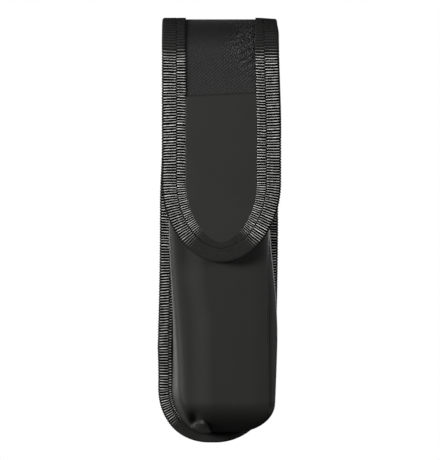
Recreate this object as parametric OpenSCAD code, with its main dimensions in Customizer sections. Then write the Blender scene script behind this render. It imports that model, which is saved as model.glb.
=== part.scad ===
// Flap-closed belt pouch for a slim hand tool: a moulded pocket on a stiff back, bound edges,
// a flap that folds over a rounded roof, and a press-stud belt strap on the back.
// Millimetres. +Z is up, the front faces -Y, and the origin is the centre of the belt channel.

/* [Pouch] */
// Height from the rounded bottom to the top of the roof
pouch_h = 200; // [194:1:212]
// Width over the bound edges
pouch_w = 56; // [54:0.5:62]
// Radius of the two bottom corners of the back
corner_r = 26.5; // [22:0.5:27]
// Least straight length left between those corners, where the pouch is narrow
foot_flat = 1; // [0.5:0.25:2]
// Height of the pocket's mouth above the bottom
mouth_z = 158; // [152:1:163]

/* [Pocket] */
// Width of the moulded pocket where it is widest
pocket_w = 47; // [44:0.5:49]
// Depth of the moulded pocket in front of the back
pocket_depth = 25; // [20:0.5:32]
// How far each side of the pocket tucks in at its root
pocket_tuck = 3; // [1:0.25:3.5]
// Height of the pocket's root above the bottom
root_z = 4.8; // [4:0.2:6]
// Radius of the pocket's two bottom corners
pocket_r = 21.5; // [17:0.5:22]
// Height over which the toe slants back to the root
toe_h = 14; // [11:0.5:17]
// Roundness of the toe: 1 is a flat slope, 2 a quarter ellipse
toe_round = 1.7; // [1.4:0.1:2]
// Squareness of the pocket's section: 2 is an ellipse, 6 nearly a box
pocket_square = 5; // [4:0.5:6]

/* [Layers] */
// Thickness of the outer cloth
cover_t = 0.9; // [0.7:0.1:1.2]
// Thickness of the stiffening board
board_t = 1.4; // [1:0.1:2]
// Thickness of the lining cloth
lining_t = 0.6; // [0.4:0.1:0.9]
// Thickness of the moulded pocket wall
shell_t = 2; // [1.6:0.1:2.4]
// Thickness of the pocket's flat sewn rim
rim_t = 1.6; // [1.2:0.1:2]

/* [Binding] */
// Thickness of the binding tape
tape_t = 0.7; // [0.5:0.05:0.9]
// Width of the tape on the outer face of the flap and roof
flap_band = 11.2; // [9:0.2:12]
// Width of the tape on the inner face of the flap and roof
flap_back_band = 9.8; // [8:0.2:11]
// Width of the tape on the rear face of the back
back_band = 11; // [9:0.2:12]
// Width of the tape on each face of the pocket's mouth
mouth_band = 8; // [6:0.5:10]
// Distance of the seams from the outer edge
seam_inset = 4.2; // [3:0.2:4.6]
// Distance of the flap's and roof's seams from the outer edge
flap_seam_inset = 6.7; // [5:0.2:7.6]
// Thickness of the sewing thread
thread_t = 0.5; // [0.4:0.05:0.6]

/* [Flap] */
// Height of the flap's tip above the bottom
flap_tip_z = 85; // [78:1:90]
// Height of the flap's rounded end
flap_round_h = 37.8; // [30:0.5:42]
// Height of the facing's top edge above the bottom
facing_top_z = 164; // [156:1:172]
// Thickness of the smooth facing on the flap
facing_t = 1; // [0.6:0.1:1.4]

/* [Closure] */
// Width of the hook and loop patches
patch_w = 26; // [20:1:28]
// Height of the loop patch
loop_h = 42; // [34:1:46]
// Height of the hook patch
hook_h = 30; // [24:1:32]
// Height of the patches' centre above the bottom
closure_z = 124; // [120:1:128]
// Thickness of the loop patch
loop_t = 1; // [0.8:0.1:1.4]
// Thickness of the hook patch
hook_t = 1.2; // [0.9:0.1:1.6]

/* [Belt strap] */
// Width of the strap's webbing
strap_w = 38; // [34:0.5:44]
// Thickness of the strap's webbing
strap_t = 2.2; // [1.6:0.1:2.8]
// Height of the widest belt that passes through
belt_h = 58; // [50:1:59]
// Room for the belt between the strap and the back
belt_gap = 6.5; // [5:0.25:8]
// Height of the strap's sewn anchor
anchor_h = 10; // [8:0.5:12]
// Height over which the strap bends out and back in
bend_h = 8; // [7.5:0.25:9]
// Distance of the strap's anchor below the roof's fold
anchor_drop = 1.4; // [1:0.2:4]
// Height of the strap's flat lower end, which carries the studs
tab_h = 20; // [19:0.5:24]
// Distance between the two press studs
stud_pitch = 19; // [16:0.5:20]
// Radius of a stud's cap
cap_r = 6.25; // [5.5:0.25:7]
// Height of a stud's cap
cap_h = 1.7; // [1.2:0.1:2.2]
// Thickness of a stud's socket
socket_t = 1.8; // [1.5:0.1:2.2]
// Radius of the stud's head
stud_r = 2.5; // [2:0.1:3]

/* [Hidden] */
$fn = 64;
ply_gap = 0.05;       // clearance between two layers sewn face to face
fold_gap = 0.3;       // clearance across each fold and hinge line
closure_gap = 0.3;    // between the hook patch and the loop patch
stud_clear = 0.3;     // between a stud's head and its socket
band_clear = 0.3;     // between the edge binding and the pocket's wall
cut_over = 1;         // how far a cutting solid runs past what it cuts
toe_steps = 12;       // rings around the pocket's rounded bottom
side_steps = 36;      // points along one ring of the pocket
tip_steps = 40;       // points along the flap's rounded end
bend_steps = 8;       // points along each bend of the strap
patch_r = 3;          // corner radius of the sewn patches
seam_end = 1.5;       // how far the seams stop short of a fold

// Levels from the front of the back lining to the outside of the back's binding, along +Y
board_y = ply_gap + lining_t + ply_gap;
cover_y = board_y + board_t + ply_gap;
back_y = cover_y + cover_t;
back_out_y = back_y + ply_gap + tape_t;

// The three layers of the roof and flap, from the lining out
stack_t = lining_t + board_t + cover_t + 2 * ply_gap;
loop_y = -pocket_depth - ply_gap - loop_t;
hook_y = loop_y - closure_gap - hook_t;
flap_in_y = hook_y - ply_gap;
flap_out_y = flap_in_y - stack_t;
flap_face_y = flap_out_y - ply_gap - tape_t;

// The roof is a half ring that joins the back's outer face to the flap's
roof_r = (back_y - flap_out_y) / 2;
roof_y = (back_y + flap_out_y) / 2;
roof_z = pouch_h - tape_t - ply_gap - roof_r;
fold_z = roof_z - fold_gap / 2;

// Levels of the strap along +Y, measured at its inner face
strap_y = back_out_y + ply_gap;
channel_y = back_out_y + belt_gap;
socket_y = back_out_y + stud_clear;
tab_y = socket_y + socket_t + ply_gap;
anchor_z = fold_z - anchor_drop - anchor_h;
belt_z = anchor_z - bend_h - belt_h / 2;
tab_top_z = belt_z - belt_h / 2 - bend_h;
tab_z = tab_top_z - tab_h;
stud_z = tab_top_z - 8;
belt_y = back_out_y + belt_gap / 2;
hem_h = 4;            // height of the folded hem at the strap's end
hem_t = 0.8;          // thickness of the hem's fold
strap_margin = 2;     // seam distance from the strap's edges

// The driving outline of the back, and the half widths inside its binding
half_w = pouch_w / 2;
sheet_inset = tape_t + ply_gap;
band_level = rim_t + ply_gap + tape_t;

// ---- shapes -------------------------------------------------------------------------------

// Puts the model's origin at the centre of the belt channel
module at_belt() translate([0, -belt_y, -belt_z]) children();

// A drawing in X and Z made into a sheet that fills y to y + t
module slab(y, t) translate([0, y + t, 0]) rotate([90, 0, 0]) linear_extrude(t) children();

// A drawing in Y and Z made into a bar of width w across the middle
module bar(w) translate([-w / 2, 0, 0]) rotate([90, 0, 90]) linear_extrude(w) children();

// The back's outline drawn in by an inset, with two corner arcs at the bottom
module back_outline(inset, top) {
    w = half_w - inset;
    r = min(corner_r, half_w - foot_flat / 2) - inset;
    for (side = [-1, 1]) translate([side * (w - r), inset + r]) circle(r);
    translate([-w, inset + r]) square([2 * w, top - inset - r]);
    translate([r - w, inset]) square([2 * (w - r), r + cut_over]);
}

// The flap's outline: straight sides and a half-ellipse end
module flap_outline(inset, top) {
    w = half_w - inset;
    h = flap_round_h - inset;
    centre = flap_tip_z + flap_round_h;
    polygon(concat(
        [for (i = [0 : tip_steps]) let (a = 180 + 180 * i / tip_steps) [w * cos(a), centre + h * sin(a)]],
        [[w, top], [-w, top]]
    ));
}

module round_patch(w, h, r) {
    for (x = [-1, 1], z = [-1, 1]) translate([x * (w / 2 - r), z * (h / 2 - r)]) circle(r);
    square([w, h - 2 * r], center = true);
    square([w - 2 * r, h], center = true);
}

// Half width of the pocket's rounded bottom at height h above its root
function round_half(h, w, r) = h >= r ? w : w - r + sqrt(r * r - pow(r - h, 2));

// Depth of the pocket at height h above its root
function toe_depth(h, d) = h >= toe_h ? d : d * pow(1 - pow(1 - h / toe_h, toe_round), 1 / toe_round);

// Half width of the pocket at height h and depth y, drawn in by a wall
function pocket_half(h, y, wall) =
    let (w = round_half(h, pocket_w / 2 - wall, pocket_r - wall), d = toe_depth(h, pocket_depth - wall))
    w * pow(1 - pow(min(1, y / d), pocket_square), 1 / pocket_square)
        - pocket_tuck * w / (pocket_w / 2) * pow(1 - min(1, y / d), 2);

// One ring of the pocket at height h, from its right root round the front to its left root
function pocket_ring(h, wall, over) =
    let (d = toe_depth(h, pocket_depth - wall))
    concat(
        over > 0 ? [[pocket_half(h, 0, wall), over, root_z + wall + h]] : [],
        [for (i = [0 : side_steps]) let (
            u = i / side_steps,
            a = 180 * u * u * (3 - 2 * u),
            y = d * pow(sin(a), 2 / pocket_square),
            x = (cos(a) >= 0 ? 1 : -1) * pow(abs(cos(a)), 2 / pocket_square),
            w = round_half(h, pocket_w / 2 - wall, pocket_r - wall),
            tuck = pocket_tuck * w / (pocket_w / 2) * pow(1 - y / d, 2)
        ) [x * w - (x > 0 ? 1 : -1) * tuck, -y, root_z + wall + h]],
        over > 0 ? [[-pocket_half(h, 0, wall), over, root_z + wall + h]] : []
    );

// Heights of the pocket's rings above its root, close together round the bottom
function ring_heights(wall, top) = concat(
    [for (i = [1 : toe_steps]) (pocket_r - wall) * (1 - cos(90 * i / toe_steps))],
    [top - root_z - wall]
);

// The pocket's outer form drawn in by a wall, as one solid from its root to a height
module pocket_block(wall, top, over = 0) {
    rings = [for (h = ring_heights(wall, top)) pocket_ring(h, wall, over)];
    n = len(rings[0]);
    levels = len(rings);
    polyhedron(
        points = [for (ring = rings, p = ring) p],
        faces = concat(
            [[for (i = [n - 1 : -1 : 0]) i]],
            [for (k = [0 : levels - 2], i = [0 : n - 1], half = [0, 1]) let (
                a = k * n + i, b = k * n + (i + 1) % n, c = b + n, e = a + n
            ) half == 0 ? [a, b, c] : [a, c, e]],
            [[for (i = [0 : n - 1]) (levels - 1) * n + i]]
        ),
        convexity = 4
    );
}

// The pocket's section where its sides are straight, drawn in by a wall
module pocket_section(wall) {
    ring = pocket_ring(pocket_r, wall, 0);
    polygon([for (p = ring) [p[0], p[1]]]);
}

// The room that the edge binding's front band leaves for the pocket's wall
module pocket_window(top) {
    heights = ring_heights(0, top);
    half = [for (h = heights) pocket_half(h, band_level, 0) + band_clear];
    last = len(heights) - 1;
    polygon(concat(
        [[-half[0], root_z - band_clear]],
        [for (i = [0 : last]) [-half[i], root_z + heights[i]]],
        [for (i = [last : -1 : 0]) [half[i], root_z + heights[i]]],
        [[half[0], root_z - band_clear]]
    ));
}

// A half ring over the roof's centre, between two radii, that stops short of the folds
module roof_ring(inner, outer, short = fold_gap / 2) difference() {
    translate([roof_y, roof_z]) circle(outer, $fn = 128);
    translate([roof_y, roof_z]) circle(inner, $fn = 128);
    translate([roof_y - outer - cut_over, roof_z + short - 2 * outer])
        square([2 * outer + 2 * cut_over, 2 * outer]);
}

// ---- back ---------------------------------------------------------------------------------

module back_cover() color([0.13, 0.13, 0.13]) difference() {
    slab(cover_y, cover_t) back_outline(sheet_inset, fold_z);
    stud_holes(cover_y - cut_over, cover_t + 2 * cut_over);
}

module back_board() color([0.75, 0.74, 0.7]) slab(board_y, board_t) difference() {
    back_outline(sheet_inset, fold_z);
    // Pockets in the board that take the stud's washers and posts
    for (x = [-1, 1]) translate([x * stud_pitch / 2, stud_z]) circle(washer_r + stud_clear);
}

module back_lining() color([0.2, 0.2, 0.2]) slab(ply_gap, lining_t) back_outline(sheet_inset, fold_z);

// Reinforcing cloth under the strap, between the two rear bands of the binding
module back_patch() color([0.15, 0.15, 0.15]) difference() {
    slab(back_y + ply_gap, tape_t) translate([0, (tab_z + anchor_z + anchor_h) / 2])
        square([2 * (half_w - back_band - ply_gap), anchor_z + anchor_h - tab_z], center = true);
    stud_holes(back_y - cut_over, tape_t + 3 * cut_over);
}

// ---- pocket -------------------------------------------------------------------------------

module pocket_shell() color([0.16, 0.16, 0.16]) difference() {
    union() {
        pocket_block(0, mouth_z);
        slab(-rim_t, rim_t) back_outline(sheet_inset, mouth_z);
    }
    pocket_block(shell_t, mouth_z + cut_over, cut_over);
}

module pocket_lining() color([0.22, 0.22, 0.22]) difference() {
    pocket_block(shell_t + ply_gap, mouth_z);
    pocket_block(shell_t + ply_gap + lining_t, mouth_z + cut_over, cut_over);
}

// The tape round the back's and the rim's edge, with a step at the pocket's mouth
module edge_binding() color([0.1, 0.1, 0.1]) {
    rear_t = back_out_y - ply_gap;
    slab(back_y + ply_gap, tape_t) difference() {
        back_outline(0, fold_z);
        back_outline(back_band, fold_z + cut_over);
    }
    slab(-rim_t - ply_gap - tape_t, back_out_y + band_level) difference() {
        back_outline(0, mouth_z);
        back_outline(tape_t, mouth_z + cut_over);
    }
    slab(-band_level, tape_t) difference() {
        back_outline(0, mouth_z);
        pocket_window(mouth_z + cut_over);
    }
    slab(-tape_t, rear_t + tape_t + ply_gap) upper_band(tape_t);
    slab(-tape_t, tape_t) upper_band(flap_band);
}

// The binding's outline above the pocket's mouth, as two upright bands
module upper_band(width) for (side = [-1, 1])
    translate([side > 0 ? half_w - width : -half_w, mouth_z]) square([width, fold_z - mouth_z]);

module mouth_binding() color([0.1, 0.1, 0.1]) {
    inner_wall = shell_t + ply_gap + lining_t;
    translate([0, 0, mouth_z - mouth_band]) linear_extrude(mouth_band + ply_gap) {
        mouth_skin(-ply_gap - tape_t, -ply_gap);
        mouth_skin(inner_wall + ply_gap, inner_wall + ply_gap + tape_t);
    }
    translate([0, 0, mouth_z + ply_gap]) linear_extrude(tape_t)
        mouth_skin(-ply_gap - tape_t, inner_wall + ply_gap + tape_t);
}

// A U-shaped strip along the pocket's section between two insets, in front of the edge binding
module mouth_skin(outer, inner) difference() {
    pocket_section(outer);
    pocket_section(inner);
    translate([-pouch_w, -band_level - ply_gap]) square([2 * pouch_w, band_level + cut_over]);
}

module loop_patch() color([0.12, 0.12, 0.12]) slab(loop_y, loop_t)
    translate([0, closure_z]) round_patch(patch_w, loop_h, patch_r);

module edge_thread() color([0.05, 0.05, 0.05]) {
    slab(back_out_y + ply_gap, thread_t / 2) difference() {
        back_outline(seam_inset, fold_z - seam_end);
        back_outline(seam_inset + thread_t, fold_z + cut_over);
    }
    slab(-band_level - ply_gap - thread_t / 2, thread_t / 2) difference() {
        back_outline(root_z / 2 - thread_t / 2, mouth_z);
        back_outline(root_z / 2 + thread_t / 2, mouth_z + cut_over);
    }
}

module mouth_thread() color([0.05, 0.05, 0.05])
    translate([0, 0, mouth_z - mouth_band / 2]) linear_extrude(thread_t)
        mouth_skin(-2 * ply_gap - tape_t - thread_t / 2, -2 * ply_gap - tape_t);

// ---- roof ---------------------------------------------------------------------------------

module roof_cover() color([0.13, 0.13, 0.13])
    bar(pouch_w - 2 * sheet_inset) roof_ring(roof_r - cover_t, roof_r);

module roof_foam() color([0.3, 0.3, 0.3]) bar(pouch_w - 2 * sheet_inset)
    roof_ring(roof_r - cover_t - ply_gap - board_t, roof_r - cover_t - ply_gap);

module roof_lining() color([0.2, 0.2, 0.2])
    bar(pouch_w - 2 * sheet_inset) roof_ring(roof_r - stack_t, roof_r - stack_t + lining_t);

// The two bound edges of the roof: an outer band, an inner band and the edge between them
module roof_binding() color([0.1, 0.1, 0.1]) for (side = [-1, 1]) {
    outer = roof_r + ply_gap + tape_t;
    inner = roof_r - stack_t - ply_gap - tape_t;
    translate([side * (half_w - tape_t / 2), 0, 0]) bar(tape_t) roof_ring(inner, outer);
    translate([side * (half_w - flap_band / 2), 0, 0]) bar(flap_band) roof_ring(outer - tape_t, outer);
    translate([side * (half_w - flap_back_band / 2), 0, 0])
        bar(flap_back_band) roof_ring(inner, inner + tape_t);
}

module roof_thread() color([0.05, 0.05, 0.05]) for (side = [-1, 1])
    translate([side * (half_w - flap_seam_inset), 0, 0]) bar(thread_t)
        roof_ring(roof_r + 2 * ply_gap + tape_t, roof_r + 2 * ply_gap + tape_t + thread_t / 2, seam_end);

// ---- flap ---------------------------------------------------------------------------------

module flap_cover() color([0.13, 0.13, 0.13])
    slab(flap_out_y, cover_t) flap_outline(sheet_inset, fold_z);

module flap_board() color([0.75, 0.74, 0.7])
    slab(flap_out_y + cover_t + ply_gap, board_t) flap_outline(sheet_inset, fold_z);

module flap_lining() color([0.2, 0.2, 0.2])
    slab(flap_in_y - lining_t, lining_t) flap_outline(sheet_inset, fold_z);

// The smooth facing that fills the flap's window inside the binding
module flap_facing() color([0.17, 0.17, 0.17])
    slab(flap_out_y - ply_gap - facing_t, facing_t) flap_outline(flap_band + ply_gap, facing_top_z);

module flap_binding() color([0.1, 0.1, 0.1]) {
    slab(flap_face_y, tape_t) flap_band_ring(0, flap_band);
    slab(flap_in_y + ply_gap, tape_t) flap_band_ring(0, flap_back_band);
    slab(flap_face_y, flap_in_y - flap_face_y + ply_gap + tape_t) flap_band_ring(0, tape_t);
}

module flap_band_ring(outer, inner, top = fold_z) difference() {
    flap_outline(outer, top);
    flap_outline(inner, fold_z + cut_over);
}

module flap_thread() color([0.05, 0.05, 0.05])
    slab(flap_face_y - ply_gap - thread_t / 2, thread_t / 2)
        flap_band_ring(flap_seam_inset, flap_seam_inset + thread_t, fold_z - seam_end);

module hook_patch() color([0.08, 0.08, 0.08]) slab(hook_y, hook_t)
    translate([0, closure_z]) round_patch(patch_w, hook_h, patch_r);

// ---- belt strap ---------------------------------------------------------------------------

// Stations down the strap's centre line through one double bend: Y, Z and the lean from straight down
function bend_line(y_top, y_end, z_top) =
    let (turn = 2 * atan((y_end - y_top) / bend_h), r = bend_h / (2 * sin(turn)))
    concat(
        [for (i = [0 : bend_steps]) let (a = turn * i / bend_steps)
            [y_top + r * (1 - cos(a)), z_top - r * sin(a), a]],
        [for (i = [bend_steps - 1 : -1 : 0]) let (a = turn * i / bend_steps)
            [y_end - r * (1 - cos(a)), z_top - bend_h + r * sin(a), a]]
    );

strap_line = concat(
    bend_line(strap_y + strap_t / 2, channel_y + strap_t / 2, anchor_z - fold_gap / 2),
    bend_line(channel_y + strap_t / 2, tab_y + strap_t / 2, belt_z - belt_h / 2),
    [[tab_y + strap_t / 2, tab_z, 0]]
);

// The strap's centre line moved out by a distance
function strap_side(off) = [for (p = strap_line) [p[0] + off * cos(p[2]), p[1] + off * sin(p[2])]];

module strap_anchor() color([0.12, 0.12, 0.12]) slab(strap_y, strap_t)
    translate([-strap_w / 2, anchor_z]) square([strap_w, anchor_h]);

module belt_strap() color([0.12, 0.12, 0.12]) difference() {
    outer = strap_side(strap_t / 2);
    bar(strap_w) polygon(concat(
        strap_side(-strap_t / 2),
        [for (i = [len(outer) - 1 : -1 : 0]) outer[i]]
    ));
    for (x = [-1, 1]) translate([x * stud_pitch / 2, 0, stud_z]) stud_hole(tab_y - cut_over, strap_t + 2 * cut_over);
}

// The folded hem that closes the strap's lower end
module strap_hem() color([0.1, 0.1, 0.1]) bar(strap_w) difference() {
    translate([tab_y - hem_t - ply_gap, tab_z - hem_t - ply_gap])
        square([strap_t + 2 * (hem_t + ply_gap), hem_h + hem_t + ply_gap]);
    translate([tab_y - ply_gap, tab_z - ply_gap]) square([strap_t + 2 * ply_gap, hem_h + cut_over]);
}

module strap_thread() color([0.05, 0.05, 0.05])
    slab(tab_y + strap_t + hem_t + 2 * ply_gap, thread_t / 2)
        translate([0, tab_z + hem_h / 2]) square([strap_w - 2 * strap_margin, thread_t], center = true);

// A box with crossed diagonals that sews the anchor down
module anchor_thread() color([0.05, 0.05, 0.05]) slab(strap_y + strap_t + ply_gap, thread_t / 2) {
    w = strap_w - 2 * strap_margin;
    h = anchor_h - 2 * strap_margin;
    translate([0, anchor_z + anchor_h / 2]) {
        difference() {
            square([w, h], center = true);
            square([w - 2 * thread_t, h - 2 * thread_t], center = true);
        }
        for (lean = [-1, 1]) rotate(lean * atan2(h - thread_t, w - thread_t))
            square([norm([w, h]) - 2 * thread_t, thread_t], center = true);
    }
}

// ---- press studs --------------------------------------------------------------------------

post_r = 1.2;         // radius of the post and its hole's fit
post_clear = 0.1;     // round each post
washer_r = 4;         // radius of the washer inside the back
washer_t = 0.5;       // thickness of the washer and of the stud's foot
neck_r = stud_r - 0.4; // radius of the stud's neck
socket_r = cap_r - 1; // radius of the socket
socket_floor = 0.4;   // thickness of the socket behind its recess

// Turns a profile of radius and height into a round piece on the line x, z, standing along +Y from y
module turned(x, y) translate([x, y, stud_z]) rotate([-90, 0, 0]) rotate_extrude() children();

module stud_hole(y, t) translate([0, y, 0]) rotate([-90, 0, 0]) cylinder(h = t, r = post_r + post_clear);

module stud_holes(y, t) for (x = [-1, 1]) translate([x * stud_pitch / 2, 0, stud_z]) stud_hole(y, t);

module for_studs() for (x = [-1, 1]) translate([x * stud_pitch / 2, 0, 0]) children();

// The fixed stud: a foot on the back, a neck and a rounded head, on a post through the back
module stud_posts() color([0.2, 0.2, 0.2]) for_studs() {
    foot_y = back_out_y + ply_gap;
    head = socket_y + socket_t - socket_floor - stud_clear - foot_y;
    turned(0, cover_y - ply_gap) square([post_r, foot_y - cover_y + 2 * ply_gap]);
    turned(0, foot_y) polygon([
        [0, 0], [neck_r, 0], [neck_r, head * 0.35], [stud_r, head * 0.55], [stud_r, head * 0.75],
        [stud_r - 0.6, head], [0, head]
    ]);
}

// The washers that spread each stud's load, let into the board
module stud_washers() color([0.6, 0.6, 0.6]) for_studs()
    turned(0, cover_y - ply_gap - washer_t) square([washer_r, washer_t]);

// The caps on the outside of the strap, with the post that rivets each one to its socket
module stud_caps() color([0.14, 0.14, 0.14]) for_studs() {
    rim_y = tab_y + strap_t + ply_gap;
    turned(0, rim_y) intersection() {
        dome_r = (cap_r * cap_r + cap_h * cap_h) / (2 * cap_h);
        translate([0, cap_h - dome_r]) circle(dome_r, $fn = 128);
        square([cap_r, cap_h]);
    }
    turned(0, tab_y - ply_gap) square([post_r, rim_y - tab_y + 2 * ply_gap]);
}

// The sockets under the strap, each a ring round a recess that takes the stud's head
module stud_sockets() color([0.25, 0.25, 0.25]) for_studs()
    turned(0, socket_y) difference() {
        square([socket_r, socket_t]);
        square([stud_r + stud_clear, socket_t - socket_floor]);
    }

// ---- assembly -----------------------------------------------------------------------------

at_belt() {
    back_cover();
    back_board();
    back_lining();
    back_patch();
    pocket_shell();
    pocket_lining();
    edge_binding();
    mouth_binding();
    loop_patch();
    edge_thread();
    mouth_thread();
    anchor_thread();
    strap_anchor();
    stud_posts();
    stud_washers();
    roof_cover();
    roof_foam();
    roof_lining();
    roof_binding();
    roof_thread();
    flap_cover();
    flap_board();
    flap_lining();
    flap_facing();
    flap_binding();
    flap_thread();
    hook_patch();
    belt_strap();
    strap_hem();
    strap_thread();
    stud_caps();
    stud_sockets();
}
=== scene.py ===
import math
import bpy
import numpy as np
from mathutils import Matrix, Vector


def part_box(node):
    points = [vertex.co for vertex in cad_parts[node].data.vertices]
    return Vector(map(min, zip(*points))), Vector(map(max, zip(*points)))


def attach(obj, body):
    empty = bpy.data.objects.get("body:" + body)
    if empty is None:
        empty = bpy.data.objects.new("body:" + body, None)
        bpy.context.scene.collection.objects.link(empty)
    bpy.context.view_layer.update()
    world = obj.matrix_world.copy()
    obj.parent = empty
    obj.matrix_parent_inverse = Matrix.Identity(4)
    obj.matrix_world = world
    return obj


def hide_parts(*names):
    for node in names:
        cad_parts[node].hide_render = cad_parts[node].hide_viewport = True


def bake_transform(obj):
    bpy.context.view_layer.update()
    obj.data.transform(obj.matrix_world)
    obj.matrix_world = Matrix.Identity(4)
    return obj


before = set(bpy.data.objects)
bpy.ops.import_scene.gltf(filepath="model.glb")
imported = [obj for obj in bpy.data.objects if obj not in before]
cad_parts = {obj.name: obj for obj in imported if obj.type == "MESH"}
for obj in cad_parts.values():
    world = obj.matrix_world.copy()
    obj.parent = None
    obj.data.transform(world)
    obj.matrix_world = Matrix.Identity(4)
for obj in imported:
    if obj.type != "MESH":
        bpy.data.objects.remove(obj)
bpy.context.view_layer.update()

# Sizes are in millimetres, measured from the pouch's bottom edge, with the front at -Y.
pouch = dict(
    halfWidth=28.0, cornerRadius=26.5, mouth=158.0, pocketHalf=23.5, pocketDepth=25.0,
    roofY=-13.775, roofZ=182.425, roofRadius=16.825,   # to the outside of the cover
    middle=1.5,   # depth of the layer that the tape folds round
    flapTip=85.0, flapRound=37.8,
    backFace=3.8, flapFace=-31.35,   # outsides of the tape on the back and the flap
)
lowEdge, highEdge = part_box("edge_binding")
origin = np.array([0.0, pouch["backFace"] - highEdge.y * 1000, -lowEdge.z * 1000])   # the belt channel's centre

camera = dict(distance=3.0, yaw=0.6, focus=(-0.85, -14.0, 100.27), frameHeight=216.1, sensor=36.0)
camData = bpy.data.cameras.new("camera")
camData.sensor_width = camera["sensor"]
camData.sensor_fit = "AUTO"
camData.lens = camera["sensor"] * camera["distance"] * 1000 / camera["frameHeight"]
cam = bpy.data.objects.new("camera", camData)
bpy.context.collection.objects.link(cam)
aim = (np.array(camera["focus"]) - origin) / 1000
yaw = math.radians(camera["yaw"])
cam.location = (aim[0] + camera["distance"] * math.sin(yaw), aim[1] - camera["distance"] * math.cos(yaw), aim[2])
cam.rotation_euler = (math.radians(90), 0, yaw)
bpy.context.scene.camera = cam
print("camera placed")

rng = np.random.default_rng(7)


def smooth(t):
    t = np.clip(t, 0, 1)
    return t * t * (3 - 2 * t)


# From 0 to 1 where x passes a start, over a length.
def rise(x, span):
    return smooth((x - span[0]) / span[1])


def fall(x, span):
    return smooth((span[0] - x) / span[1])


def columns(*parts):
    return np.stack(np.broadcast_arrays(*parts), -1)


# How the empty pouch has settled: the back drifts to the left as it goes down, the pocket leans to the right
# on both its sides, and the roof narrows a little and has sunk at its right corner.
slump = dict(
    drift=3.2, driftFrom=110.0, midDrift=1.45, midSpan=(152.0, 40.0), taper=0.038, taperFrom=45.0,
    rightLean=6.2, rightSpan=(118.0, 72.0), leftLean=7.0, leftSpan=(105.0, 90.0),
    topDrift=0.55, topTaper=0.022, topSpan=(145.0, 50.0),
    droop=0.55, pinch=0.9, cornerX=(16.0, 12.0), cornerZ=(192.0, 7.0),
)


def settle(points, part):
    k = slump
    p = np.array(points, float)
    x, y, z = p[..., 0], p[..., 1], p[..., 2]
    top = rise(z, k["topSpan"])
    x = x * (1 - k["topTaper"] * top) - k["topDrift"] * top
    corner = rise(x, k["cornerX"]) * rise(z, k["cornerZ"])
    x, z = x - k["pinch"] * corner, z - k["droop"] * corner
    if part != "flap":
        low = np.clip((k["driftFrom"] - z) / k["driftFrom"], 0, None)
        if part == "back":
            x = x * (1 - k["taper"] * np.sin(math.pi * np.clip(z / k["taperFrom"], 0, 1)))
        x = x - k["drift"] * low ** 2 - k["midDrift"] * fall(z, k["midSpan"])
    if part == "pocket":
        share = np.clip((x + pouch["pocketHalf"]) / (2 * pouch["pocketHalf"]), 0, 1)
        right = k["rightLean"] * fall(z, k["rightSpan"])
        left = k["leftLean"] * fall(z, k["leftSpan"])
        x = x + (right * share + left * (1 - share)) * -y / pouch["pocketDepth"]
    return columns(x, y, z)


def makeMesh(name, points, faces, material, uvs=None, smoothShade=True):
    mesh = bpy.data.meshes.new(name)
    mesh.from_pydata(((points - origin) / 1000).tolist(), [], faces)
    if uvs is not None:
        layer = mesh.uv_layers.new(name="grain")
        index = np.zeros(len(mesh.loops), int)
        mesh.loops.foreach_get("vertex_index", index)
        layer.data.foreach_set("uv", uvs[index].astype(np.float32).ravel())
    mesh.polygons.foreach_set("use_smooth", [smoothShade] * len(mesh.polygons))
    mesh.materials.append(material)
    mesh.update()
    obj = bpy.data.objects.new(name, mesh)
    bpy.context.collection.objects.link(obj)
    return obj


# The faces of a tube made of closed loops of points, with a cap at each end.
def tubeFaces(rows, cols, start=0):
    a = np.arange(rows - 1)[:, None] * cols + np.arange(cols)[None]
    b = np.arange(rows - 1)[:, None] * cols + (np.arange(cols)[None] + 1) % cols
    quads = columns(a, b, b + cols, a + cols).reshape(-1, 4) + start
    firstLoop = [start + j for j in range(cols)]
    lastLoop = [start + (rows - 1) * cols + j for j in range(cols)]
    return quads.tolist() + [firstLoop[::-1], lastLoop]


# A skin over rows of closed loops, settled as its part of the pouch is.
def skin(name, rows, material, part, uvs=None, flip=False):
    faces = tubeFaces(*rows.shape[:2])
    if flip:
        faces = [f[::-1] for f in faces]
    points = settle(rows, part).reshape(-1, 3)
    return makeMesh(name, points, faces, material, None if uvs is None else uvs.reshape(-1, 2))


# A loop across a flat piece: along its face and back along the other side.
def slab(x, y, z, backY, backZ=None):
    return np.concatenate([columns(x, y, z), columns(x[::-1], backY, z if backZ is None else backZ)])


def setAttribute(obj, name, values):
    obj.data.attributes.new(name, "FLOAT", "POINT").data.foreach_set("value", np.array(values, np.float32).ravel())


def lengthAlong(points):
    return np.concatenate([[0], np.cumsum(np.linalg.norm(np.diff(points, axis=0), axis=1))])


def evenly(points, count):
    along = lengthAlong(points)
    t = np.linspace(0, along[-1], count)
    return np.stack([np.interp(t, along, points[:, k]) for k in range(3)], -1)


# The pouch's side profile from the middle of the roof down: side +1 is the back, -1 the flap.
def profile(s, side, radius):
    quarter = radius * math.pi / 2
    angle = np.clip(s / quarter, 0, 1) * math.pi / 2
    down = np.clip(s - quarter, 0, None)
    y = pouch["roofY"] + side * radius * np.sin(angle)
    z = pouch["roofZ"] + radius * np.cos(angle) - down
    normal = columns(0, side * np.sin(angle), np.cos(angle))
    return columns(0, y, z), normal


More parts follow.
